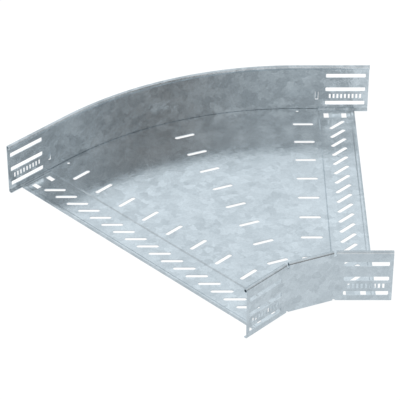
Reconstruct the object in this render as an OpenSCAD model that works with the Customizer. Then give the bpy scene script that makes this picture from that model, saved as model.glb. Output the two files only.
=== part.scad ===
// Flat bend for a perforated cable tray, in galvanised sheet steel.
// A floor lies on the flanges of two side rails, whose top edges are rolled inwards.
// Its end strips lie one sheet lower than its panel, in one plane with the flanges, so that the
// floor of the next tray lies on them and comes flush with the panel.
// The bend is symmetric about the YZ plane, and its outer rail is on the +Y side.
// Each arm is drawn in a frame of its own, with the bend centre as its origin: that is where the
// step lines of the floor cross. There the arm runs along +X, and its step line is at x = 0.

/* [Bend] */
// Angle that the cable run turns through
bend_angle = 45; // [30:1:60]
// Clear width between the rails
tray_width = 490; // [300:5:600]
// Distance from the bend centre to the tray side of the inner rail
inner_radius = 100; // [90:1:200]
// Distance across the arm from the bend centre to the centre of the outer rail's curve
arc_shift = 89; // [50:1:120]
// Distance from each step line to the fold of the inner rail
fold_inset = 3; // [2.5:0.5:10]

/* [Sheet] */
// Thickness of the sheet
sheet = 1.25; // [0.8:0.05:2]
// Amount that the sheet thins on each side where it is folded
fold_thinning = 0.05; // [0.02:0.01:0.1]

/* [Rails] */
// Height of the rails
rail_height = 83.5; // [80:0.5:120]
// Diameter of the hollow inside the rolled top edge
roll_core = 4.5; // [3:0.5:8]
// Distance from the tray side of a rail to the edge of its flange
flange_reach = 4; // [2.5:0.5:4.5]
// Inside radius of the bend between a rail and its flange
flange_bend = 0.75; // [0.5:0.25:1.5]
// Width of the relief notches at the folds of the inner rail
relief_width = 4; // [2:0.5:5]
// Height of the relief notches at the foot of those folds
relief_height = 3.5; // [3.5:0.5:6]
// Length of the rails past the step line
tab_reach = 77.5; // [76:0.5:100]

/* [Rail slots] */
// Distance from the step line to the long slots in the rail ends
tab_slot_inset = 10; // [8:0.5:15]
// Distance from the long slots to the end of the rail
tab_slot_end = 5; // [3:0.5:8]
// Height of the middle long slot above the foot of the rail
tab_slot_height = 38.25; // [36:0.25:42]
// Width of the long slots
tab_slot_width = 7.25; // [5:0.25:9]
// Corner radius of the long slots
tab_slot_corner = 1.5; // [0.5:0.5:2.5]
// Spacing of the long slots, up the rail
tab_slot_pitch = 25; // [23:0.5:27]
// Number of short slots in the row above the lowest long slot
latch_slot_count = 9; // [3:1:10]
// Spacing of the short slots
latch_slot_pitch = 6; // [5:0.5:6.5]
// Width of the short slots
latch_slot_width = 3; // [2:0.5:4]
// Height of the short slots
latch_slot_height = 8; // [5:0.5:10]

/* [Catch tongues] */
// Distance from the step line to the middle of the tongue that is cut free in the outer rail
tongue_inset = 3.5; // [3.5:0.5:8]
// Height of the tongue's free end above the foot of the rail
tongue_foot = 19.75; // [16:0.25:22]
// Length of the tongue, from its free end up to its root
tongue_length = 14; // [10:0.5:16]
// Width of the tongue
tongue_width = 4; // [3:0.5:5]
// Distance that the free end is bent out by
tongue_lean = 2; // [1.5:0.5:4]
// Width of the slit around the tongue
tongue_slit = 0.5; // [0.2:0.1:1]

/* [Floor] */
// Length of the slope between the panel and the end strip
step_run = 2; // [1:0.5:4]
// Clearance between the end strips and the flanges beside them
flange_gap = 1; // [0.5:0.25:2]
// Length of the floor past the step line, with its bead
floor_reach = 56.75; // [52:0.25:70]
// Width of the raised bead along each end of the floor
bead_width = 7; // [6:0.25:8]
// Height of the bead above the end strip
bead_rise = 0.8; // [0.2:0.1:1]
// Length of the slope between the end strip and the bead
bead_slope = 1.5; // [0.5:0.25:2]
// Length of the slope on the bead's outer side, which guides the next tray
bead_lead = 2.5; // [1.5:0.25:3.5]

/* [Floor slots] */
// Length of the floor slots
slot_length = 32.5; // [20:0.5:34]
// Width of the floor slots
slot_width = 6.5; // [5:0.5:8]
// Angle of the slots in the end strips, measured from the direction of the arm
strip_slot_angle = 45; // [30:1:60]
// Spacing of the slots along the end strips
strip_pitch = 25; // [20:1:40]
// Distance from the step line to the middle of the end strip's slots
strip_centre = 27; // [24:0.5:30]
// Spacing of the slots in the three rows of the panel
row_pitch = 50; // [40:1:80]
// Distance from each step line to the middle of the row beside it
row_inset = 26.25; // [20:0.25:30]
// Distance that the middle row lies further out than the other rows
middle_row_shift = 7.5; // [0:0.5:10]
// Smallest distance from a rail to the middle of the first slot
slot_margin = 40; // [35:1:60]

/* [Fixing holes] */
// Size of the square-cut holes beside the rails, along the arm
fixing_length = 8; // [5:0.5:9]
// Size of the same holes, across the arm
fixing_width = 14; // [8:0.5:16]
// Distance from the rail to the middle of these holes
fixing_edge = 17.5; // [15:0.5:20]
// Distance from the step line to the first of these holes
fixing_first = 11.5; // [9:0.5:14]
// Spacing of the two holes beside each rail
fixing_spacing = 28; // [20:1:30]
// Diameter of the round hole by the outer rail
screw_diameter = 5; // [3:0.1:6]
// Distance from the outer rail to the round hole
screw_edge = 7; // [6.5:0.5:9]
// Distance from the step line to the round hole
screw_inset = 34; // [25:1:36]

/* [Hidden] */
$fn = 48;
zinc = [0.74, 0.77, 0.79];
// Cutters reach this far past the faces that they cut
cut_over = 1;
// Length that two stretches of one sheet share, so that they join
shared = 1;
// Angle that each half of the outer rail is drawn past the symmetry plane before it is trimmed
trim_angle = 2;

half_angle = bend_angle / 2;
outer_radius = inner_radius + tray_width;
arm_middle = inner_radius + tray_width / 2;
arc_radius = outer_radius - arc_shift;
arc_start = -arc_shift * tan(half_angle);
// Middle stretch of the inner rail: its tray side, and half the distance between its folds
middle_face = inner_radius * cos(half_angle) + fold_inset * sin(half_angle);
middle_half = inner_radius * sin(half_angle) - fold_inset * cos(half_angle);
// Half the length of that stretch between its relief notches
middle_reach = middle_half - relief_width / 2;

roll_radius = roll_core / 2 + sheet;
roll_middle = rail_height - roll_radius;
roll_foot = roll_middle - roll_radius;

// The panel lies on the flanges and keeps clear of their bends. The strips lie beside the flanges.
bend_height = flange_bend + sheet;
floor_height = 2 * sheet;
strip_top = sheet;
strip_inset = flange_reach + flange_gap;
panel_inset = flange_bend;
panel_end = -step_run / 2;
strip_start = step_run / 2;
bead_start = floor_reach - bead_width;
bead_top = strip_top + bead_rise;

tab_slot_length = tab_reach - tab_slot_inset - tab_slot_end;
tab_slot_centre = tab_slot_inset + tab_slot_length / 2;
tongue_top = tongue_foot + tongue_length;

strip_count = floor((tray_width - 2 * slot_margin) / strip_pitch) + 1;
row_count = floor((tray_width - 2 * slot_margin) / row_pitch) + 1;

// Fold of the inner rail in the arm's frame, moved by a distance towards the tray
function fold(d) = [-fold_inset - d * tan(half_angle / 2), inner_radius + d];

// Point of the right arm in the part's frame
function placed(p) = [
    p[0] * cos(half_angle) + p[1] * sin(half_angle),
    p[1] * cos(half_angle) - p[0] * sin(half_angle)
];

// Span of the part along Y, measured from the bend centre, and a length past all of it
y_low = placed([tab_reach, inner_radius - sheet])[1];
y_high = arc_shift / cos(half_angle) + arc_radius + sheet;
far = 2 * y_high;

// Puts the origin in the middle of the part's box, at its foot
module in_place() {
    translate([0, -(y_low + y_high) / 2, 0]) children();
}

module both_sides() {
    children();
    mirror([1, 0, 0]) children();
}

// Turns the frame of the right arm into the part's frame
module right_arm() {
    rotate(-half_angle) children();
}

// Keeps what lies on the right of the symmetry plane
module right_half() {
    intersection() {
        children();
        translate([0, -far, -far]) cube(2 * far);
    }
}

// Lays a section (across, up) along the arm from x0 to x1
module along_arm(x0, x1) {
    translate([x0, 0, 0]) rotate([90, 0, 90]) linear_extrude(x1 - x0) children();
}

// Lays a section along the line of the outer rail: its curve, and its straight run up to x1
module along_outer_rail(x1) {
    translate([0, outer_radius, 0]) along_arm(arc_start, x1) children();
    translate([arc_start, arc_shift, 0]) rotate(90)
        rotate_extrude(angle = half_angle + trim_angle, $fn = 180)
            translate([arc_radius, 0]) children();
}

// Lays a section along the middle stretch of the inner rail, with its tray side at +Y
module along_middle() {
    translate([0, middle_face, 0]) along_arm(-middle_reach, middle_reach) mirror([1, 0]) children();
}

// Pushes a side view (along, up) across the arm from y0 to y1
module across_arm(y0, y1) {
    translate([0, y1, 0]) rotate([90, 0, 0]) linear_extrude(y1 - y0) children();
}

// Cuts straight down through the whole floor
module through_floor() {
    translate([0, 0, -cut_over]) linear_extrude(floor_height + 2 * cut_over) children();
}

module round_slot(length, width) {
    square([length - width, width], center = true);
    for (side = [-1, 1]) translate([side * (length - width) / 2, 0]) circle(d = width);
}

module corner_slot(length, width, corner) {
    square([length, width - 2 * corner], center = true);
    square([length - 2 * corner, width], center = true);
    for (sx = [-1, 1], sy = [-1, 1])
        translate([sx * (length / 2 - corner), sy * (width / 2 - corner)]) circle(r = corner);
}

// Even row of copies along Y, centred on the given place
module row_along(middle, count, pitch) {
    for (i = [0 : count - 1]) translate([0, middle + (i - (count - 1) / 2) * pitch]) children();
}

// Flat panel in the arm's frame. It runs on past the symmetry plane.
module panel_outline() {
    past_middle = fold(panel_inset) - 2 * middle_half * [cos(half_angle), sin(half_angle)];
    arc_middle = [arc_start, arc_shift];
    panel_out = outer_radius - panel_inset;
    polygon([
        [panel_end, inner_radius + panel_inset], [panel_end, panel_out], [arc_start, panel_out],
        arc_middle, past_middle, fold(panel_inset)
    ]);
    intersection() {
        translate(arc_middle) circle(r = arc_radius - panel_inset, $fn = 180);
        polygon([[arc_start, far], arc_middle, past_middle, [-far, far]]);
    }
}

// The innermost place of the middle row stays blank, because the three rows come together there
module middle_row() {
    row_along(arm_middle + middle_row_shift + row_pitch / 2, row_count - 1, row_pitch)
        round_slot(slot_length, slot_width);
}

module side_row() {
    translate([-row_inset, 0]) row_along(arm_middle, row_count, row_pitch)
        round_slot(slot_length, slot_width);
}

module screw_hole() {
    translate([-screw_inset, outer_radius - screw_edge]) circle(d = screw_diameter);
}

// Side view of the floor's end: panel, slope, strip and bead
module end_profile() {
    top = [
        [panel_end - shared, floor_height], [panel_end, floor_height], [strip_start, strip_top],
        [bead_start, strip_top], [bead_start + bead_slope, bead_top], [floor_reach - bead_lead, bead_top],
        [floor_reach, strip_top]
    ];
    foot = [for (i = [len(top) - 1 : -1 : 0]) top[i] - [0, sheet]];
    polygon(concat(top, foot));
}

module strip_holes() {
    translate([strip_centre, 0]) row_along(arm_middle, strip_count, strip_pitch)
        rotate(strip_slot_angle) round_slot(slot_length, slot_width);
    for (i = [0, 1], y = [inner_radius + fixing_edge, outer_radius - fixing_edge])
        translate([fixing_first + i * fixing_spacing, y])
            square([fixing_length, fixing_width], center = true);
}

module half_floor() {
    right_half() right_arm() difference() {
        union() {
            translate([0, 0, strip_top]) linear_extrude(sheet) panel_outline();
            across_arm(inner_radius + strip_inset, outer_radius - strip_inset) end_profile();
        }
        through_floor() {
            side_row();
            screw_hole();
            strip_holes();
        }
    }
}

module floor_plate() {
    color(zinc) in_place() difference() {
        both_sides() half_floor();
        through_floor() middle_row();
    }
}

// Section of a rail, with its tray side at x = 0 and the outside at +x. The flange at its foot and
// the roll at its top both lie on the tray side, and the roll is open below.
module rail_section() {
    translate([-flange_reach, 0]) square([flange_reach - flange_bend, sheet]);
    translate([-flange_bend, bend_height]) difference() {
        intersection() {
            circle(r = bend_height);
            translate([0, -bend_height]) square(bend_height);
        }
        circle(r = flange_bend);
    }
    translate([0, bend_height]) square([sheet, roll_middle - bend_height]);
    translate([sheet - roll_radius, roll_middle]) difference() {
        circle(r = roll_radius);
        circle(d = roll_core);
        translate([0, -roll_radius]) square(roll_radius);
    }
}

// Openings in a rail end, as seen from the side
module tab_openings() {
    translate([tab_slot_centre, tab_slot_height]) {
        for (k = [-1, 0, 1]) translate([0, k * tab_slot_pitch])
            corner_slot(tab_slot_length, tab_slot_width, tab_slot_corner);
        for (i = [0 : latch_slot_count - 1])
            translate([(i - (latch_slot_count - 1) / 2) * latch_slot_pitch, -tab_slot_pitch / 2])
                square([latch_slot_width, latch_slot_height], center = true);
    }
}

// Catch tongue, as a section (across, up). Its root runs into the web, and its free end leans out.
module tongue_section() {
    polygon([
        [0, tongue_top + shared], [0, tongue_top], [tongue_lean, tongue_foot],
        [tongue_lean + sheet, tongue_foot], [sheet, tongue_top], [sheet, tongue_top + shared]
    ]);
}

// Window that the tongue is cut free in, as seen from the side
module tongue_window() {
    translate([-tongue_inset - tongue_width / 2 - tongue_slit, tongue_foot - tongue_slit])
        square([tongue_width + 2 * tongue_slit, tongue_length + tongue_slit]);
}

module half_outer_rail() {
    right_half() right_arm() {
        difference() {
            along_outer_rail(tab_reach) rail_section();
            across_arm(outer_radius - cut_over, outer_radius + sheet + cut_over) {
                tab_openings();
                tongue_window();
            }
        }
        translate([0, outer_radius, 0])
            along_arm(-tongue_inset - tongue_width / 2, -tongue_inset + tongue_width / 2) tongue_section();
    }
}

module outer_rail() {
    color(zinc) in_place() both_sides() half_outer_rail();
}

// Bend of the inner rail, which bridges the gap between two notches
module folded_corner() {
    near = -fold_thinning;
    back = fold_thinning - sheet;
    arm_end = relief_width / 2 - fold_inset + shared;
    middle_end = middle_reach - shared;
    translate([0, 0, relief_height]) linear_extrude(roll_foot - relief_height) polygon([
        placed([arm_end, inner_radius + near]), placed(fold(near)), [middle_end, middle_face + near],
        [middle_end, middle_face + back], placed(fold(back)), placed([arm_end, inner_radius + back])
    ]);
}

module inner_tab() {
    difference() {
        translate([0, inner_radius, 0])
            along_arm(relief_width / 2 - fold_inset, tab_reach) mirror([1, 0]) rail_section();
        across_arm(inner_radius - sheet - cut_over, inner_radius + cut_over) tab_openings();
    }
}

module inner_rail() {
    color(zinc) in_place() {
        both_sides() {
            right_arm() inner_tab();
            folded_corner();
        }
        along_middle() rail_section();
    }
}

floor_plate();
outer_rail();
inner_rail();
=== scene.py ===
# %% [markdown]
# A 45 degree bend for a perforated cable tray, dressed for its picture.
# The exact model already holds three pieces of sheet steel, in metres: a slotted floor plate, a curved
# outer rail and a folded inner rail. Nothing moves on such a bend, so all belong to one body, "root".
# This lesson places the camera, hangs a studio sky, lays a white floor, and gives the steel its coat of
# zinc.
# New meshes could be laid over the three pieces, but their shapes are right, so they only get a coat.
# We load them first.

# %% load the exact model
import math
import bpy
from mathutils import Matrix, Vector

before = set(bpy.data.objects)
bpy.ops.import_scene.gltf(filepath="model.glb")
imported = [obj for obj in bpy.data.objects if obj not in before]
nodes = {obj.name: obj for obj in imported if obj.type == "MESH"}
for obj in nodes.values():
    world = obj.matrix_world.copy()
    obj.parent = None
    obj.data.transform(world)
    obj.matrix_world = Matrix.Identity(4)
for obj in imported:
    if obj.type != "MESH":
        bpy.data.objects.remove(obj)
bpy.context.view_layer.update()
scene = bpy.context.scene
scene.view_settings.view_transform = "Standard"

# %% [markdown]
# The picture is taken with a long lens from the front left, looking down by 35 degrees.
# A camera can be placed by eye, but here its place was worked out from the slots, whose spacing is
# known.
# A lens about five times as long as its sensor is wide keeps the far rail nearly as large as the near
# one.
# We aim the camera with a track quaternion, because that turns one direction into a rotation with no
# trial and error.

# %% camera
LOOK_AT = Vector((-0.03667, 0.07202, -0.01112))
CAMERA_AT = Vector((-0.98314, -2.21043, 1.72798))
SENSOR_MM = 36.0
LENS_MM = 181.85
SEES_AS_FAR_AS = 50.0

view_line = LOOK_AT - CAMERA_AT
camera_data = bpy.data.cameras.new("photo_camera")
camera_data.sensor_width = SENSOR_MM
camera_data.lens = LENS_MM
camera_data.clip_end = SEES_AS_FAR_AS
camera = bpy.data.objects.new("photo_camera", camera_data)
scene.collection.objects.link(camera)
camera.location = CAMERA_AT
camera.rotation_euler = view_line.to_track_quat("-Z", "Y").to_euler()
scene.camera = camera
print("camera stands", round(view_line.length, 3), "m from what it looks at")

# %% [markdown]
# The sky, the floor and the steel are all dressed with shader nodes.
# By hand, one adds a node, picks its mode, types its values and drags wires into it.
# A helper that does the same four things, in that order, lets each node below read as one sentence.
# The mode comes first, because some nodes only show their sockets once it is set.

# %% a helper that adds one node
def add_node(tree, kind, values=None, wires=None, **modes):
    """Add a node to a tree, with its modes, its typed values and the wires that run into it."""
    node = tree.nodes.new(kind)
    for mode, choice in modes.items():
        setattr(node, mode, choice)
    for socket, value in (values or {}).items():
        node.inputs[socket].default_value = value
    for socket, source in (wires or {}).items():
        tree.links.new(source, node.inputs[socket])
    return node


print("ready to add nodes to the sky, the floor and the steel")

# %% [markdown]
# Zinc is a mirror with a bad memory: it shows the room, blurred. So the room matters more than any
# lamp. In the photograph the tray's floor is bright, because it mirrors a bright backdrop behind the
# tray. The outer rail is dark, because it mirrors the tray's floor, which from there shows the darker
# middle of the studio.
# Lamps could do this, but a sky that changes with direction gives it with no noise.
# The sky reads the direction of each ray, turned so that its Y axis points from the camera to the
# backdrop.

# %% studio sky: the direction of each ray
backdrop_turn = math.atan2(view_line.x, view_line.y)
world = bpy.data.worlds.new("studio_sky")
scene.world = world
world.use_nodes = True
sky = world.node_tree
sky.nodes.clear()
sky_direction = add_node(sky, "ShaderNodeTexCoord")
sky_turn = add_node(
    sky, "ShaderNodeMapping",
    {"Rotation": (0.0, 0.0, backdrop_turn)},
    {"Vector": sky_direction.outputs["Generated"]},
)
sky_axes = add_node(sky, "ShaderNodeSeparateXYZ", wires={"Vector": sky_turn.outputs["Vector"]})
print("the backdrop lies", round(math.degrees(backdrop_turn), 1), "degrees right of the part's Y axis")

# %% [markdown]
# A colour ramp turns one axis of the direction into brightness. A picture of a studio would do as well,
# but a ramp is easy to read and to change: each stop is a place from -1 to 1, a level and a tint.
# Ramps run from 0 to 1, so a Map Range node first brings the axis into that range.

# %% studio sky: a ramp over one axis
def sky_ramp(axis, stops):
    """A ramp of colours over one axis of the direction, from -1 to 1."""
    reach = add_node(sky, "ShaderNodeMapRange", {"From Min": -1.0}, {"Value": sky_axes.outputs[axis]})
    ramp_node = add_node(sky, "ShaderNodeValToRGB", wires={"Fac": reach.outputs["Result"]})
    ramp = ramp_node.color_ramp
    while len(ramp.elements) < len(stops):
        ramp.elements.new(0.5)
    for element, (place, level, tint) in zip(ramp.elements, stops):
        element.position = (place + 1.0) / 2.0
        element.color = [level * part for part in tint] + [1.0]
    return ramp_node.outputs["Color"]


GREY = (1.0, 1.0, 1.0)
WARM = (1.03, 0.955, 0.91)
COOL = (0.94, 1.0, 1.04)
print("tints of the sky: grey", GREY, "warm", WARM, "cool", COOL)

# %% [markdown]
# Three ramps make most of the sky. The first runs from the camera to the backdrop: a lamp beside the
# camera, a dim and warmer stretch at the sides, and the bright backdrop, which is a little bluer.
# The second runs from the ground up. It is dark near the horizon, where a studio is unlit. Rolled edges
# and beads tilt the mirror that far down, and so they show as thin dark lines. A lighter band in the
# dark keeps the shallow steps beside the end strips fainter than the rest.
# The third says where the second counts: not at the lamp, little at a doorway beside it, and not quite
# in full at the backdrop.

# %% studio sky: lamp, backdrop and horizon
ALONG = [
    (-1.0, 1.0, GREY), (-0.92, 0.86, GREY), (-0.84, 0.67, GREY), (-0.62, 0.37, WARM), (-0.44, 0.29, WARM),
    (-0.20, 0.48, GREY), (0.0, 0.59, GREY), (0.52, 0.88, COOL), (0.80, 0.95, COOL), (1.0, 0.96, COOL),
]
UP = [
    (-1.0, 0.20, COOL), (0.08, 0.20, COOL), (0.20, 0.74, COOL), (0.26, 0.74, COOL),
    (0.32, 0.34, COOL), (0.36, 0.36, COOL), (0.49, 1.0, GREY),
]
COUNTS = [
    (-1.0, 0.0, GREY), (-0.90, 0.0, GREY), (-0.76, 1.0, GREY), (-0.58, 1.0, GREY), (-0.48, 0.2, GREY),
    (-0.28, 0.2, GREY), (-0.20, 1.0, GREY), (0.30, 1.0, GREY), (0.70, 0.76, GREY),
]
sky_low = add_node(
    sky, "ShaderNodeMix",
    wires={"Factor": sky_ramp("Y", COUNTS), "A": sky_ramp("Y", ALONG), "B": sky_ramp("Z", UP)},
    data_type="RGBA", blend_type="MULTIPLY",
)
print("sky goes from", ALONG[0][1], "at the camera to", ALONG[-1][1], "at the backdrop")

# %% [markdown]
# Plain greys take over in three places. Two ramps, multiplied, mark the doorway, which is low. One ramp
# marks a wall on the left. This camera's view makes next to no use of either: they light the tray for
# someone who walks round it.
# The last ramp brings in the ceiling, which from here only the rolled edges and the left step can
# mirror.

# %% studio sky: doorway, left wall and ceiling
LEFT = [(-0.72, 1.0, GREY), (-0.56, 0.0, GREY), (1.0, 0.0, GREY)]
LEFT_GREY = (0.60, 0.62, 0.63, 1.0)
CEILING = [(-1.0, 0.0, GREY), (0.64, 0.0, GREY), (0.76, 1.0, GREY), (1.0, 1.0, GREY)]
CEILING_GREY = (0.685, 0.72, 0.745, 1.0)
DOORWAY_ALONG = [
    (-1.0, 0.0, GREY), (-0.60, 0.0, GREY), (-0.50, 1.0, GREY), (-0.24, 1.0, GREY), (-0.14, 0.0, GREY),
]
DOORWAY_UP = [(-1.0, 1.0, GREY), (0.28, 1.0, GREY), (0.40, 0.0, GREY)]
DOORWAY_GREY = (0.53, 0.575, 0.605, 1.0)

doorway = add_node(
    sky, "ShaderNodeMath",
    wires={0: sky_ramp("Y", DOORWAY_ALONG), 1: sky_ramp("Z", DOORWAY_UP)},
    operation="MULTIPLY",
)
sky_all = sky_low
for where, grey in (
    (doorway.outputs["Value"], DOORWAY_GREY),
    (sky_ramp("X", LEFT), LEFT_GREY),
    (sky_ramp("Z", CEILING), CEILING_GREY),
):
    sky_all = add_node(
        sky, "ShaderNodeMix",
        {"B": grey},
        {"Factor": where, "A": sky_all.outputs["Result"]},
        data_type="RGBA",
    )
sky_light = add_node(sky, "ShaderNodeBackground", wires={"Color": sky_all.outputs["Result"]})
add_node(sky, "ShaderNodeOutputWorld", wires={"Surface": sky_light.outputs["Background"]})
print("the sky is made of", len(sky.nodes), "nodes")

# %% [markdown]
# The tray lies on a plain white floor, which also shows through its slots.
# A curved backdrop could stand behind it, but a wide plane that fills the picture needs no horizon.
# It lies a hair below the tray, so that the two don't share one plane, which would render as speckles.

# %% floor
FLOOR_WIDTH = 16.0
FLOOR_DROP = 0.0004
bpy.ops.object.select_all(action="DESELECT")
bpy.ops.mesh.primitive_plane_add(size=FLOOR_WIDTH, location=(0.0, 0.0, -FLOOR_DROP))
ground = bpy.context.object
ground.name = "studio_floor"
print("floor is", ground.dimensions.x, "m wide")

# %% [markdown]
# A real white floor below a tray would be in deep shadow, and the slots would look grey.
# The photograph has them white, so the floor glows, but only for the camera and for mirror rays.
# What is left of its white paint still takes the tray's shadow.
# More light on the floor would whiten it too, but it would bleach the steel as well.
# The steel mirrors a slightly dimmer floor than the camera sees, because the photograph's white is a
# bleached one.

# %% floor coat: three looks
white_coat = bpy.data.materials.new("white_floor")
white_coat.use_nodes = True
floor_coat = white_coat.node_tree
floor_coat.nodes.clear()


def floor_paint(level):
    """Plain white paint of one brightness."""
    paint = add_node(floor_coat, "ShaderNodeBsdfDiffuse", {"Color": (level, level, level, 1.0)})
    return paint.outputs["BSDF"]


def glowing_paint(level, glow, tint):
    """White paint of one brightness with a tinted glow on top of it."""
    light = add_node(floor_coat, "ShaderNodeEmission", {"Color": (*tint, 1.0), "Strength": glow})
    both = add_node(
        floor_coat, "ShaderNodeAddShader",
        wires={0: floor_paint(level), 1: light.outputs["Emission"]},
    )
    return both.outputs["Shader"]


look_plain = floor_paint(level=0.9)
look_mirrored = glowing_paint(level=0.30, glow=0.58, tint=COOL)
look_seen = glowing_paint(level=0.16, glow=0.95, tint=GREY)
print("three looks of the floor take", len(floor_coat.nodes), "nodes")

# %% floor coat: which ray sees which look
ray = add_node(floor_coat, "ShaderNodeLightPath")
mirror_ray = add_node(
    floor_coat, "ShaderNodeMath",
    wires={0: ray.outputs["Is Glossy Ray"], 1: ray.outputs["Is Transmission Ray"]},
    operation="MAXIMUM",
)
mirror_choice = add_node(
    floor_coat, "ShaderNodeMixShader",
    wires={"Fac": mirror_ray.outputs["Value"], 1: look_plain, 2: look_mirrored},
)
camera_choice = add_node(
    floor_coat, "ShaderNodeMixShader",
    wires={"Fac": ray.outputs["Is Camera Ray"], 1: mirror_choice.outputs["Shader"], 2: look_seen},
)
add_node(floor_coat, "ShaderNodeOutputMaterial", wires={"Surface": camera_choice.outputs["Shader"]})
ground.data.materials.append(white_coat)
print("floor wears", white_coat.name)

# %% [markdown]
# Strip galvanised steel shows spangle: zinc crystals about a centimetre wide, each tilted its own way,
# so that neighbours mirror slightly different parts of the room. On a sheet like this the contrast is
# low and the borders are feathery, more like frost than like paving.
# A cell texture can give the crystals, but its borders are too straight. So a noise first pushes the
# coordinates about. Most sizes below are counted in crystals, so that one number scales the finish.
# Each piece also slides its pattern, because sheets cut from different coils never match.

# %% zinc coat: where its pattern lies
FEATHERS_PER_CRYSTAL = 1.6
FEATHER_PUSH = 1.3


def zinc_noise(coat, place, scale, detail, roughness=0.5):
    """A soft noise, with so many waves to a metre."""
    values = {"Scale": scale, "Detail": detail, "Roughness": roughness}
    return add_node(coat, "ShaderNodeTexNoise", values, {"Vector": place})


def zinc_place(coat, width, shift):
    """The piece's own coordinates, slid by the shift: first even, then with feathered borders."""
    place = add_node(coat, "ShaderNodeTexCoord")
    slide = add_node(
        coat, "ShaderNodeMapping", {"Location": shift}, {"Vector": place.outputs["Object"]}
    )
    even = slide.outputs["Vector"]
    feather = zinc_noise(coat, even, FEATHERS_PER_CRYSTAL / width, detail=3.0)
    push = add_node(
        coat, "ShaderNodeVectorMath",
        {1: (FEATHER_PUSH * width,) * 3},
        {0: feather.outputs["Color"], 2: even},
        operation="MULTIPLY_ADD",
    )
    return even, push.outputs["Vector"]


print("borders of crystals wander by up to", FEATHER_PUSH, "crystal widths")

# %% [markdown]
# The zinc's colour comes from three layers: crystals, a frost that breaks up each crystal, and large
# clouds such as handling and rain leave on a sheet. One texture alone would look like paving or smoke.
# A ramp between two greys of zinc then sets the contrast: the closer its two stops, the stronger it is.
# The crystals also differ in gloss, so a second channel of their random colour drives the roughness.

# %% zinc coat: colour and gloss
ZINC_DARK = (0.560, 0.612, 0.645, 1.0)
ZINC_LIGHT = (0.780, 0.838, 0.875, 1.0)
FROST_SHARE = 0.66
CLOUD_SHARE = 0.35
RAMP_HALF = 0.25
GLOSSY, DULL = 0.16, 0.26


def zinc_shade(coat, crystal, frost, cloud, contrast):
    """The colour of the zinc, from its three layers."""
    grain = add_node(coat, "ShaderNodeMix", {"Factor": FROST_SHARE}, {"A": crystal, "B": frost})
    tone = add_node(
        coat, "ShaderNodeMix", {"Factor": CLOUD_SHARE}, {"A": grain.outputs["Result"], "B": cloud}
    )
    shade = add_node(coat, "ShaderNodeValToRGB", wires={"Fac": tone.outputs["Result"]})
    dark, light = shade.color_ramp.elements
    dark.position, dark.color = 0.5 - RAMP_HALF / contrast, ZINC_DARK
    light.position, light.color = 0.5 + RAMP_HALF / contrast, ZINC_LIGHT
    return shade.outputs["Color"]


def zinc_gloss(coat, crystal):
    """The roughness of the zinc, which differs a little from crystal to crystal."""
    gloss = add_node(coat, "ShaderNodeMapRange", {"To Min": GLOSSY, "To Max": DULL}, {"Value": crystal})
    return gloss.outputs["Result"]


print("zinc runs from", ZINC_DARK[:3], "to", ZINC_LIGHT[:3], "with roughness", GLOSSY, "to", DULL)

# %% [markdown]
# Crystals lean by a degree or so, and that alone makes a mirror shimmer. Cutting such slopes into the
# mesh would take millions of faces, so two bump nodes tilt the shading instead: broad facets first, and
# then the small dents of the frost on top of them.
# The tray's floor leans least. A wide flat mirror with too much lean looks like water.

# %% zinc coat: relief
FACETS_PER_CRYSTAL = 0.9
DENT_STRENGTH = 0.15
DENT_HEIGHT = 0.0006


def zinc_relief(coat, place, frost, width, lean):
    """The tilt of the zinc: leaning facets with small dents on them."""
    facets = zinc_noise(coat, place, FACETS_PER_CRYSTAL / width, detail=2.0)
    leaning = add_node(
        coat, "ShaderNodeBump",
        {"Strength": 1.0, "Distance": lean * width},
        {"Height": facets.outputs["Fac"]},
    )
    dents = add_node(
        coat, "ShaderNodeBump",
        {"Strength": DENT_STRENGTH, "Distance": DENT_HEIGHT},
        {"Height": frost, "Normal": leaning.outputs["Normal"]},
    )
    return dents.outputs["Normal"]


print("a facet spans", round(1.0 / FACETS_PER_CRYSTAL, 2), "crystals")

# %% [markdown]
# Now the layers meet in one metal. Paint over steel would be a coloured base with a clear coat, but
# zinc is bare metal, so the shader is metallic all over and its colour is the tint of its mirror image.

# %% zinc coat: the whole recipe
CRYSTAL_BLUR = 0.35
FROST_PER_CRYSTAL = 2.4
CLOUDS_PER_CRYSTAL = 0.16


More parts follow.
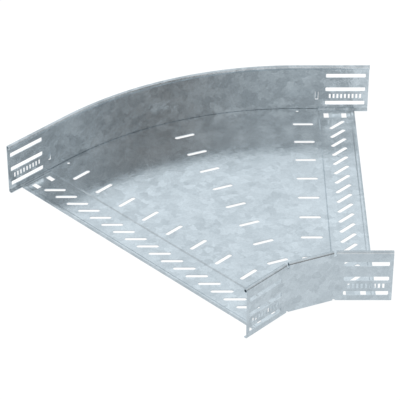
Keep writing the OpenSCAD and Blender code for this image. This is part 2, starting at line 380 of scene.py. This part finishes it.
def zinc_coat(name, width, contrast, lean, shift):
    """A spangled zinc material, with crystals of this width in metres.

    The contrast sets its greys apart, the lean tilts its crystals, and the shift slides its pattern.
    """
    material = bpy.data.materials.new(name)
    material.use_nodes = True
    coat = material.node_tree
    even, feathered = zinc_place(coat, width, shift)
    cells = add_node(
        coat, "ShaderNodeTexVoronoi",
        {"Smoothness": CRYSTAL_BLUR, "Scale": 1.0 / width},
        {"Vector": feathered},
        feature="SMOOTH_F1",
    )
    crystal = add_node(coat, "ShaderNodeSeparateColor", wires={"Color": cells.outputs["Color"]})
    frost = zinc_noise(coat, feathered, FROST_PER_CRYSTAL / width, detail=4.0, roughness=0.65)
    cloud = zinc_noise(coat, even, CLOUDS_PER_CRYSTAL / width, detail=2.0)

    shade = zinc_shade(
        coat, crystal.outputs["Red"], frost.outputs["Fac"], cloud.outputs["Fac"], contrast
    )
    gloss = zinc_gloss(coat, crystal.outputs["Green"])
    relief = zinc_relief(coat, feathered, frost.outputs["Fac"], width, lean)
    metal = coat.nodes["Principled BSDF"]
    metal.inputs["Metallic"].default_value = 1.0
    for socket, source in (("Base Color", shade), ("Roughness", gloss), ("Normal", relief)):
        coat.links.new(source, metal.inputs[socket])
    return material


print("a cloud spans", round(1.0 / CLOUDS_PER_CRYSTAL, 1), "crystals")

# %% [markdown]
# One coat could serve all three pieces, but each of them mirrors something else. The floor plate
# mirrors an even backdrop, and little contrast is enough. The outer rail mirrors the plate's own spangle,
# which blurs its crystals, so it gets more contrast and more lean. The inner rail has slightly smaller
# crystals. An exact piece keeps its mesh as it is, so the coat goes into the piece's material slots.

# %% zinc coat: one for each piece
COATS = {
    "floor_plate": zinc_coat("zinc_floor", 0.012, contrast=1.3, lean=0.012, shift=(0.0, 0.0, 0.0)),
    "outer_rail": zinc_coat("zinc_outer_rail", 0.012, contrast=2.2, lean=0.05, shift=(0.31, 0.17, 0.09)),
    "inner_rail": zinc_coat("zinc_inner_rail", 0.011, contrast=1.3, lean=0.03, shift=(0.57, 0.44, 0.23)),
}
for name, material in COATS.items():
    for material_slot in nodes[name].material_slots:
        material_slot.material = material
    print(name, "wears", [material_slot.name for material_slot in nodes[name].material_slots])
